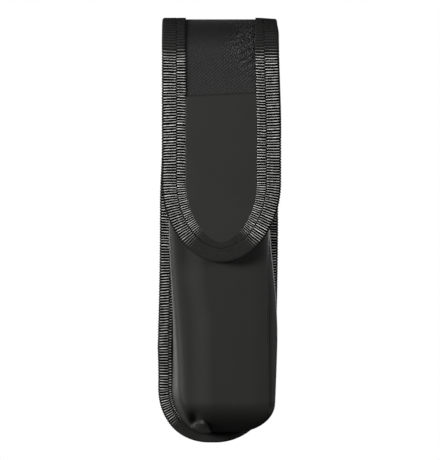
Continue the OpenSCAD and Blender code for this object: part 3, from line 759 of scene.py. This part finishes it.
def pocketRelief(points):
    d, f = dents, facet
    x, y, z = points[..., 0], points[..., 1], points[..., 2]
    front = rise(-y, d["frontSpan"])
    line = d["foldX"] + d["foldWave"] * np.sin(z / d["waveOver"])
    flank = d["flank"] * np.clip((x - line + d["flankOver"]) / d["flankOver"], 0, 1) ** 2
    fold = d["foldStep"] * smooth((x - line) / d["foldWidth"] + 0.5) + flank
    fold = fold * fall(z, d["foldTop"]) * rise(z, d["foldFoot"])
    ridge = d["stepX"] - d["shift"] * rise(z, d["shiftSpan"])
    step = d["step"] * (1 - smooth((x - ridge) / d["stepOver"] + 0.5)) * fall(z, d["stepTop"])
    fromX, fromZ = (x - d["dimpleX"]) / d["dimpleHalfX"], (z - d["dimpleZ"]) / d["dimpleHalfZ"]
    dimple = d["dimple"] * np.exp(-fromX ** 2 - fromZ ** 2)
    plane = f["y"] - f["slopeX"] * (x - f["x"]) + f["slopeZ"] * (f["z"] - z)
    right = (f["rightZ"] - z) * f["rightSlope"] + f["rightX"]
    left = (z - f["leftZ"]) * f["leftSlope"] + f["leftX"]
    within = smooth((x - left) / f["leftOver"] + 0.5) * (1 - smooth((x - right) / f["rightOver"] + 0.5))
    within = within * (1 - rise(z, f["top"]))
    pressed = (dimple + within * np.minimum(plane - y, 0)) * rise(-y, d["footSpan"])
    moved = points.copy()
    moved[..., 1] = y + (fold + step) * front + pressed
    return moved


shellLevels = pocketLevels(pocket["round"], pouch["mouth"] - pocket["root"], 36, 66)
shellTop = pouch["mouth"] - pocket["root"] - pocket["wall"]
shellLoops = pocketLoops(shellLevels, 0, 301, shellLevels * shellTop / shellLevels[-1], pocket["wall"], 90)
shellRows = pocketRelief(settle(shellLoops, "pocket"))
shellFaces = [f[::-1] for f in tubeFaces(*shellRows.shape[:2])]
pocketShell = makeMesh("pocketShell", shellRows.reshape(-1, 3), shellFaces, moulded)

rim = dict(inset=0.75, top=153.2, overlap=0.12, rootY=-1.9, faceY=-1.6, backY=-0.05)


# The flat sewn rim round the pocket's root, under the binding.
def rimRows():
    r, w = pouch["cornerRadius"] - rim["inset"], pouch["halfWidth"] - rim["inset"]
    heights = pocketLevels(pocket["round"], rim["top"], 23, 50)
    root = [pocketRow(h, 0, 3)[-1] for h in heights[::-1]] + [pocketRow(h, 0, 3)[0] for h in heights]
    rows = []
    for x, y, z in root:
        side = 1 if x > 0 else -1
        outer = np.array([side * w, z])
        if z < r + rim["inset"]:
            centre = np.array([side * (w - r), r + rim["inset"]])
            way = np.array([x, z]) - centre
            outer = centre + way / np.linalg.norm(way) * r
        inner = np.array([x, z])
        near = inner + (outer - inner) * rim["overlap"]
        inner = inner - (outer - inner) * rim["overlap"]
        rows.append([[inner[0], rim["rootY"], inner[1]], [near[0], rim["faceY"], near[1]],
                     [outer[0], rim["faceY"], outer[1]], [outer[0], rim["backY"], outer[1]],
                     [inner[0], rim["backY"], inner[1]]])
    return np.array(rows)


pocketRim = skin("pocketRim", rimRows(), moulded, "back")
mount(pocketShell, "pouch", ["pocket_shell"])
mount(pocketRim, "pouch")

inLining = dict(gap=0.05, thick=0.65, round=19.0, top=150.0)   # both depths from the wall's inside
liningLevels = pocketLevels(inLining["round"], inLining["top"], 15, 30)
liningLoops = pocketLoops(liningLevels, pocket["wall"] + inLining["gap"], 61,
                          liningLevels, pocket["wall"] + inLining["thick"], 61)
pocketLining = skin("pocketLining", liningLoops, lining, "pocket", flip=True)
mount(pocketLining, "pouch", ["pocket_lining"])
print("pocket made")

pocketMouth = dict(
    width=8.0, top=158.75, out=1.75, inside=2.45, seam=5.2, seamSunk=0.05,
    ringAt=150.0, wall=1.0, start=4.4, middleY=-12.0
)


# The mouth's tape folds over the wall's middle, from the back round the front to the back again.
def mouthRail():
    m = pocketMouth
    ring = pocketRow(m["ringAt"], m["wall"], 700)
    ring = ring[np.abs(ring[:, 1]) > m["start"]]
    total = np.linalg.norm(np.diff(ring, axis=0), axis=1).sum()
    ribs = round(total / tape["pitch"])
    p = evenly(ring, ribs * tape["segments"] + 1)
    p[:, 2] = m["top"]
    way = np.gradient(p, axis=0)
    way /= np.linalg.norm(way, axis=1, keepdims=True)
    out = columns(-way[:, 1], way[:, 0], 0)
    fromMiddle = p - np.array([0, m["middleY"], m["top"]])
    out = out * np.sign((out * fromMiddle).sum(1))[:, None]
    s = np.linspace(0, total, len(p))
    return {"s": s, "p": p, "out": out, "in": np.tile((0.0, 0.0, -1.0), (len(p), 1)), "phase": s / total * ribs,
            "eased": False}


mouthEdge = mouthRail()
mouthSizes = [pocketMouth[key] for key in ("width", "out", "width", "inside", "seam")]
mouthBinding = foldedTape("mouthBinding", "pocket", mouthEdge, mouthSizes)
mount(mouthBinding, "pouch", ["mouth_binding"])


def alongRail(rail, distance, height):
    inward, outward = np.reshape(distance, (-1, 1)), np.reshape(height, (-1, 1))
    return rail["p"] + rail["in"] * inward + rail["out"] * outward


# Stitches hold every tape down, sunk a little into its face.
seamSunk = dict(flap=0.1, rear=-0.05, front=0.1, frontTop=156.0)
low = flapTape["height"] - tape["rib"] - seamSunk["flap"]
stitches("flapStitches", alongRail(flapRail, flapSeam, low), flapRail["out"], "front",
         ["flap_thread", "roof_thread"], "flap")
stitches("flapStitchesInside", alongRail(flapRail, flapSeam, -low), -flapRail["out"], "front", (), "flap")
low = backTape["rearHeight"] - tape["rib"] - seamSunk["rear"]
stitches("rearStitches", alongRail(backRail, backTape["rearSeam"], low), backRail["out"], "rear", ["edge_thread"])
low = frontHeight - tape["rib"] - seamSunk["front"]
stitches("frontStitches", alongRail(frontRail, frontSeam, low), frontRail["out"], "pouch", highest=seamSunk["frontTop"])
low = pocketMouth["out"] - tape["rib"] - pocketMouth["seamSunk"]
stitches("mouthStitches", alongRail(mouthEdge, pocketMouth["seam"], low), mouthEdge["out"], "pouch",
         ["mouth_thread"], "pocket")
print("seams stitched")

closure = dict(
    loopSize=(26.0, 42.0), hookSize=(26.0, 30.0), middle=124.0, corner=3.0, cornerEnd=0.04,
    loopBack=-25.05, loopThick=0.85, hookBack=-27.62, hookThick=0.45, grid=0.4, edge=0.6,
)


# A patch with rounded corners and edges: x across, z up, and a height field for its pile.
def closurePatch(name, size, back, thick, part, relief, material, flip):
    c = closure
    w, l = size
    u = np.linspace(-w / 2, w / 2, int(w / c["grid"]) + 1)
    v = np.linspace(l / 2, -l / 2, int(l / c["grid"]) + 1)
    r = c["corner"]
    rows = []
    for dz in v:
        cut = max(abs(dz) - (l / 2 - r), 0)
        half = w / 2 - r + math.sqrt(max(r * r - cut * cut, c["cornerEnd"]))
        x = u * half / (w / 2)
        edge = np.clip(np.minimum(half - np.abs(x), l / 2 - abs(dz)) / c["edge"], 0, 1)
        top = back - thick * np.sqrt(1 - (1 - edge) ** 2) * 0.5 - thick * 0.5 * edge - relief(x, dz) * edge
        rows.append(slab(x, top, c["middle"] + dz, back))
    rows = np.array(rows)
    if flip:
        rows[..., 1] = 2 * back - rows[..., 1]
    return skin(name, rows, material, part, flip=flip)


def loopPile(x, dz):
    coarse = 0.16 * np.sin(x * 6.1 + 1.7 * math.sin(dz * 2.3)) * math.sin(dz * 6.7)
    return coarse + 0.1 * np.sin(x * 9.7 + dz * 11.3)


loopPatch = closurePatch("loopPatch", closure["loopSize"], closure["loopBack"], closure["loopThick"], "pocket",
                         loopPile, lining, False)
hookPatch = closurePatch("hookPatch", closure["hookSize"], closure["hookBack"], closure["hookThick"], "flap",
                         lambda x, dz: 0 * x, webbing, True)
mount(loopPatch, "pouch", ["loop_patch"])
mount(hookPatch, "flap", ["hook_patch"])

hooks = dict(
    pitch=1.5, tall=0.75, start=1.6, end=1.2, stagger=0.4, root=0.4, flat=0.7,
    # lean, height and half width of each hook on its way up
    bend=((0, 0, 0.2), (0, 0.4, 0.16), (0.08, 0.62, 0.13), (0.24, 0.7, 0.1), (0.36, 0.58, 0.08))
)


# Rows of bent nylon hooks, each row leaning against the next.
def hookField():
    w, l = closure["hookSize"]
    verts, faces = [], []
    for i, x in enumerate(np.arange(-w / 2 + hooks["start"], w / 2 - hooks["end"], hooks["pitch"])):
        lean = 1 if i % 2 else -1
        for z in np.arange(-l / 2 + hooks["start"], l / 2 - hooks["end"], hooks["pitch"]) + (i % 2) * hooks["stagger"]:
            faces += tubeFaces(len(hooks["bend"]), 4, len(verts))
            for dz, dy, thick in hooks["bend"]:
                for cx, cz in ((-1, -1), (1, -1), (1, 1), (-1, 1)):
                    verts.append((x + cx * thick, closure["hookBack"] + hooks["root"] + dy * hooks["tall"],
                                  closure["middle"] + z + lean * dz + cz * thick * hooks["flat"]))
    obj = makeMesh("hookField", settle(np.array(verts), "flap"), [f[::-1] for f in faces], webbing, smoothShade=False)
    mount(obj, "flap")


hookField()
print("closure made")

strap = dict(
    width=38.0, thick=2.2, anchorY=4.95, channelY=11.4, tabY=7.05,
    top=180.85, anchorFoot=170.9, channelTop=162.9, channelFoot=104.9, tabTop=96.9, bottom=76.9,
    yarn=1.5, weave=0.13, step=0.42, edge=0.35, edgeRound=0.1, edgeThick=0.6, edgeYarns=3.2,
    groove=0.12, grooveWidth=0.35, uvShift=50.0,
)


# The belt strap's middle line: down the back, out round the belt and in again.
def strapLine():
    k = strap
    z = np.arange(k["top"], k["bottom"], -k["step"])
    upper = smooth((k["anchorFoot"] - z) / (k["anchorFoot"] - k["channelTop"]))
    lower = smooth((k["channelFoot"] - z) / (k["channelFoot"] - k["tabTop"]))
    y = k["anchorY"] + (k["channelY"] - k["anchorY"]) * upper + (k["tabY"] - k["channelY"]) * lower
    line = columns(0, y, z)
    way = np.gradient(line, axis=0)
    way /= np.linalg.norm(way, axis=1, keepdims=True)
    normal = columns(0, -way[:, 2], way[:, 1])
    return line, normal, lengthAlong(line)


# Plain weave in relief, with a groove inside each of the two edges.
def beltStrap():
    line, normal, along = strapLine()
    w, t = strap["width"] / 2, strap["thick"] / 2
    across = np.linspace(-w + strap["edge"], w - strap["edge"], 92)
    rounded = w - np.array([strap["edgeRound"], 0, strap["edgeRound"]])
    edgeThick = np.array([strap["edgeThick"], 0, -strap["edgeThick"]])
    x = np.concatenate([across, rounded, across[::-1], -rounded])
    face = np.concatenate([np.ones(len(across)), edgeThick, -np.ones(len(across)), -edgeThick])
    groove = np.exp(-((np.abs(x) - (w - strap["edgeYarns"])) / strap["grooveWidth"]) ** 2)
    rows, uvs = [], []
    for p, n, s in zip(line, normal, along):
        over = np.sin(math.pi * x / strap["yarn"] + face * math.pi * 0.5) * np.sin(math.pi * s / strap["yarn"])
        lift = t - strap["weave"] * (0.5 - 0.5 * over) - strap["groove"] * groove
        rows.append(columns(x, 0, 0) + p + n * (face * lift)[:, None])
        uvs.append(columns(x + face * strap["uvShift"], s))
    return skin("beltStrap", np.array(rows), webbing, "flap", np.array(uvs), flip=True)


mount(beltStrap(), "strap", ["belt_strap", "strap_anchor"])

hem = dict(height=4.75, thick=0.8, gap=0.05, yarnDip=0.03)


# The turned and sewn foot of the strap.
def strapHem():
    w = strap["width"] / 2
    inner = strap["thick"] / 2 + hem["gap"]
    outer = inner + hem["thick"]
    foot = strap["bottom"] - hem["gap"]
    top = foot + hem["height"]
    right = [(outer - 0.1, top), (outer, top - 0.4), (outer, foot + 0.5), (outer - 0.5, foot - 0.45)]
    outline = right + [(0, foot - 0.8)] + [(-y, z) for y, z in right[::-1]]
    outline += [(-inner, top), (-inner, foot), (inner, foot), (inner, top)]
    rows, uvs = [], []
    for x in np.linspace(-w, w, 96):
        dip = 1 - hem["yarnDip"] * abs(math.sin(math.pi * x / strap["yarn"]))
        rows.append([(x, strap["tabY"] + y * dip, z) for y, z in outline])
        uvs.append([(z, x) for y, z in outline])
    return skin("strapHem", np.array(rows), webbing, "flap", np.array(uvs))


mount(strapHem(), "belt_strap", ["strap_hem"])

sewn = dict(half=17.0, low=172.9, high=178.9, hem=78.9, sunk=0.02)


def sewnLine(name, corners, y, holder, replaced=()):
    points = np.array([(x * sewn["half"], y, z) for x, z in corners], float)
    dense = evenly(points, 40 * len(points))
    stitches(name, dense, np.tile((0.0, 1.0, 0.0), (len(dense), 1)), holder, replaced, "flap")


anchorFace = strap["anchorY"] + strap["thick"] / 2 - sewn["sunk"]
hemFace = strap["tabY"] + strap["thick"] / 2 + hem["gap"] + hem["thick"]
low, high = sewn["low"], sewn["high"]
sewnLine("anchorStitches", [(-1, low), (1, low), (1, high), (-1, high), (-1, low), (1, high)], anchorFace, "pouch",
         ["anchor_thread"])
sewnLine("anchorCrossStitches", [(-1, high), (1, low)], anchorFace, "pouch")
sewnLine("hemStitches", [(-1, sewn["hem"]), (1, sewn["hem"])], hemFace, "belt_strap", ["strap_thread"])

backPatch = dict(
    half=16.9, low=76.9, high=180.8, face=3.8, back=3.1, edge=0.8, edgeShare=0.4,
    pucker=0.03
)


# The patch of cover cloth that takes the wear behind the strap.
def wearPatch():
    b = backPatch
    x = np.linspace(-b["half"], b["half"], 35)
    rows = []
    for z in np.linspace(b["high"], b["low"], 100):
        fromEdge = np.minimum(b["half"] - np.abs(x), min(b["high"] - z, z - b["low"]))
        edge = np.clip(fromEdge / b["edge"], 0, 1)
        rise = b["edgeShare"] + (1 - b["edgeShare"]) * np.sqrt(1 - (1 - edge) ** 2)
        y = b["back"] + (b["face"] - b["back"]) * rise - b["pucker"] * np.sin(x * 0.9) * np.sin(z * 0.7)
        rows.append(slab(x, y, z, b["back"]))
    return skin("backPatch", np.array(rows), twill, "flap", flip=True)


mount(wearPatch(), "pouch", ["back_patch"])
print("belt strap made")

stage = dict(radius=1.2, z=-0.194, sides=96)   # in metres


def stageFloor():
    angles = np.linspace(0, 2 * math.pi, stage["sides"] + 1)[:-1]
    points = [(stage["radius"] * math.cos(a), stage["radius"] * math.sin(a), stage["z"]) for a in angles]
    mesh = bpy.data.meshes.new("studioFloor")
    mesh.from_pydata(points, [], [list(range(stage["sides"]))])
    material, tree, shader = newMaterial("paperMatte", {
        "Base Color": toLinear("#8a8a88"), "Roughness": 0.9,
        "Emission Color": toLinear("#f4f4f2"), "Emission Strength": 0.72})
    mesh.materials.append(material)
    floor = bpy.data.objects.new("studioFloor", mesh)
    floor.visible_diffuse = False   # flagged off, so that the pouch's underside stays dark
    floor.visible_glossy = False
    bpy.context.collection.objects.link(floor)


# Where each softbox stands and its size, in metres, and its power in watts. All of them face one point.
lights = {
    "softboxLeft": ((-0.72, -0.45, 0.12), (0.45, 0.24), 11.8),
    "softboxRight": ((0.72, -0.45, 0.12), (0.45, 0.24), 4.0),
    "softboxBackLeft": ((-0.7, 0.75, 0.1), (0.5, 0.4), 5.0),
    "softboxBackRight": ((0.7, 0.75, 0.1), (0.5, 0.4), 5.0),
}
for name, (spot, size, watts) in lights.items():
    light = bpy.data.lights.new(name, "AREA")
    light.shape, light.size, light.size_y, light.energy = "RECTANGLE", *size, watts
    lamp = bpy.data.objects.new(name, light)
    lamp.location = spot
    way = np.array((0, -0.015, -0.03)) - np.array(spot)
    lamp.rotation_euler = (math.acos(-way[2] / np.linalg.norm(way)), 0, math.atan2(way[1], way[0]) - math.pi / 2)
    bpy.context.collection.objects.link(lamp)
stageFloor()

# The camera sees a white studio, which itself gives only a faint fill.
world = bpy.data.worlds.new("paleStudio")
bpy.context.scene.world = world
world.use_nodes = True
tree = world.node_tree
tree.nodes.clear()
cameraRay = addNode(tree, "ShaderNodeLightPath").outputs["Is Camera Ray"]
seen, fill = (addNode(tree, "ShaderNodeBackground", {"Color": (1, 1, 1, 1), "Strength": strength})
              for strength in (1.0, 0.06))
mixed = addNode(tree, "ShaderNodeMixShader", None, {0: cameraRay, 1: fill.outputs[0], 2: seen.outputs[0]})
addNode(tree, "ShaderNodeOutputWorld", None, {"Surface": mixed.outputs[0]})
bpy.context.scene.view_settings.view_transform = "Standard"
bpy.context.scene.view_settings.look = "None"
print("studio made")

# The press studs are shown as they are built, in brass.
for node in ("stud_posts", "stud_washers", "stud_caps", "stud_sockets"):
    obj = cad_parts[node]
    obj.data.materials.clear()
    obj.data.materials.append(brass)
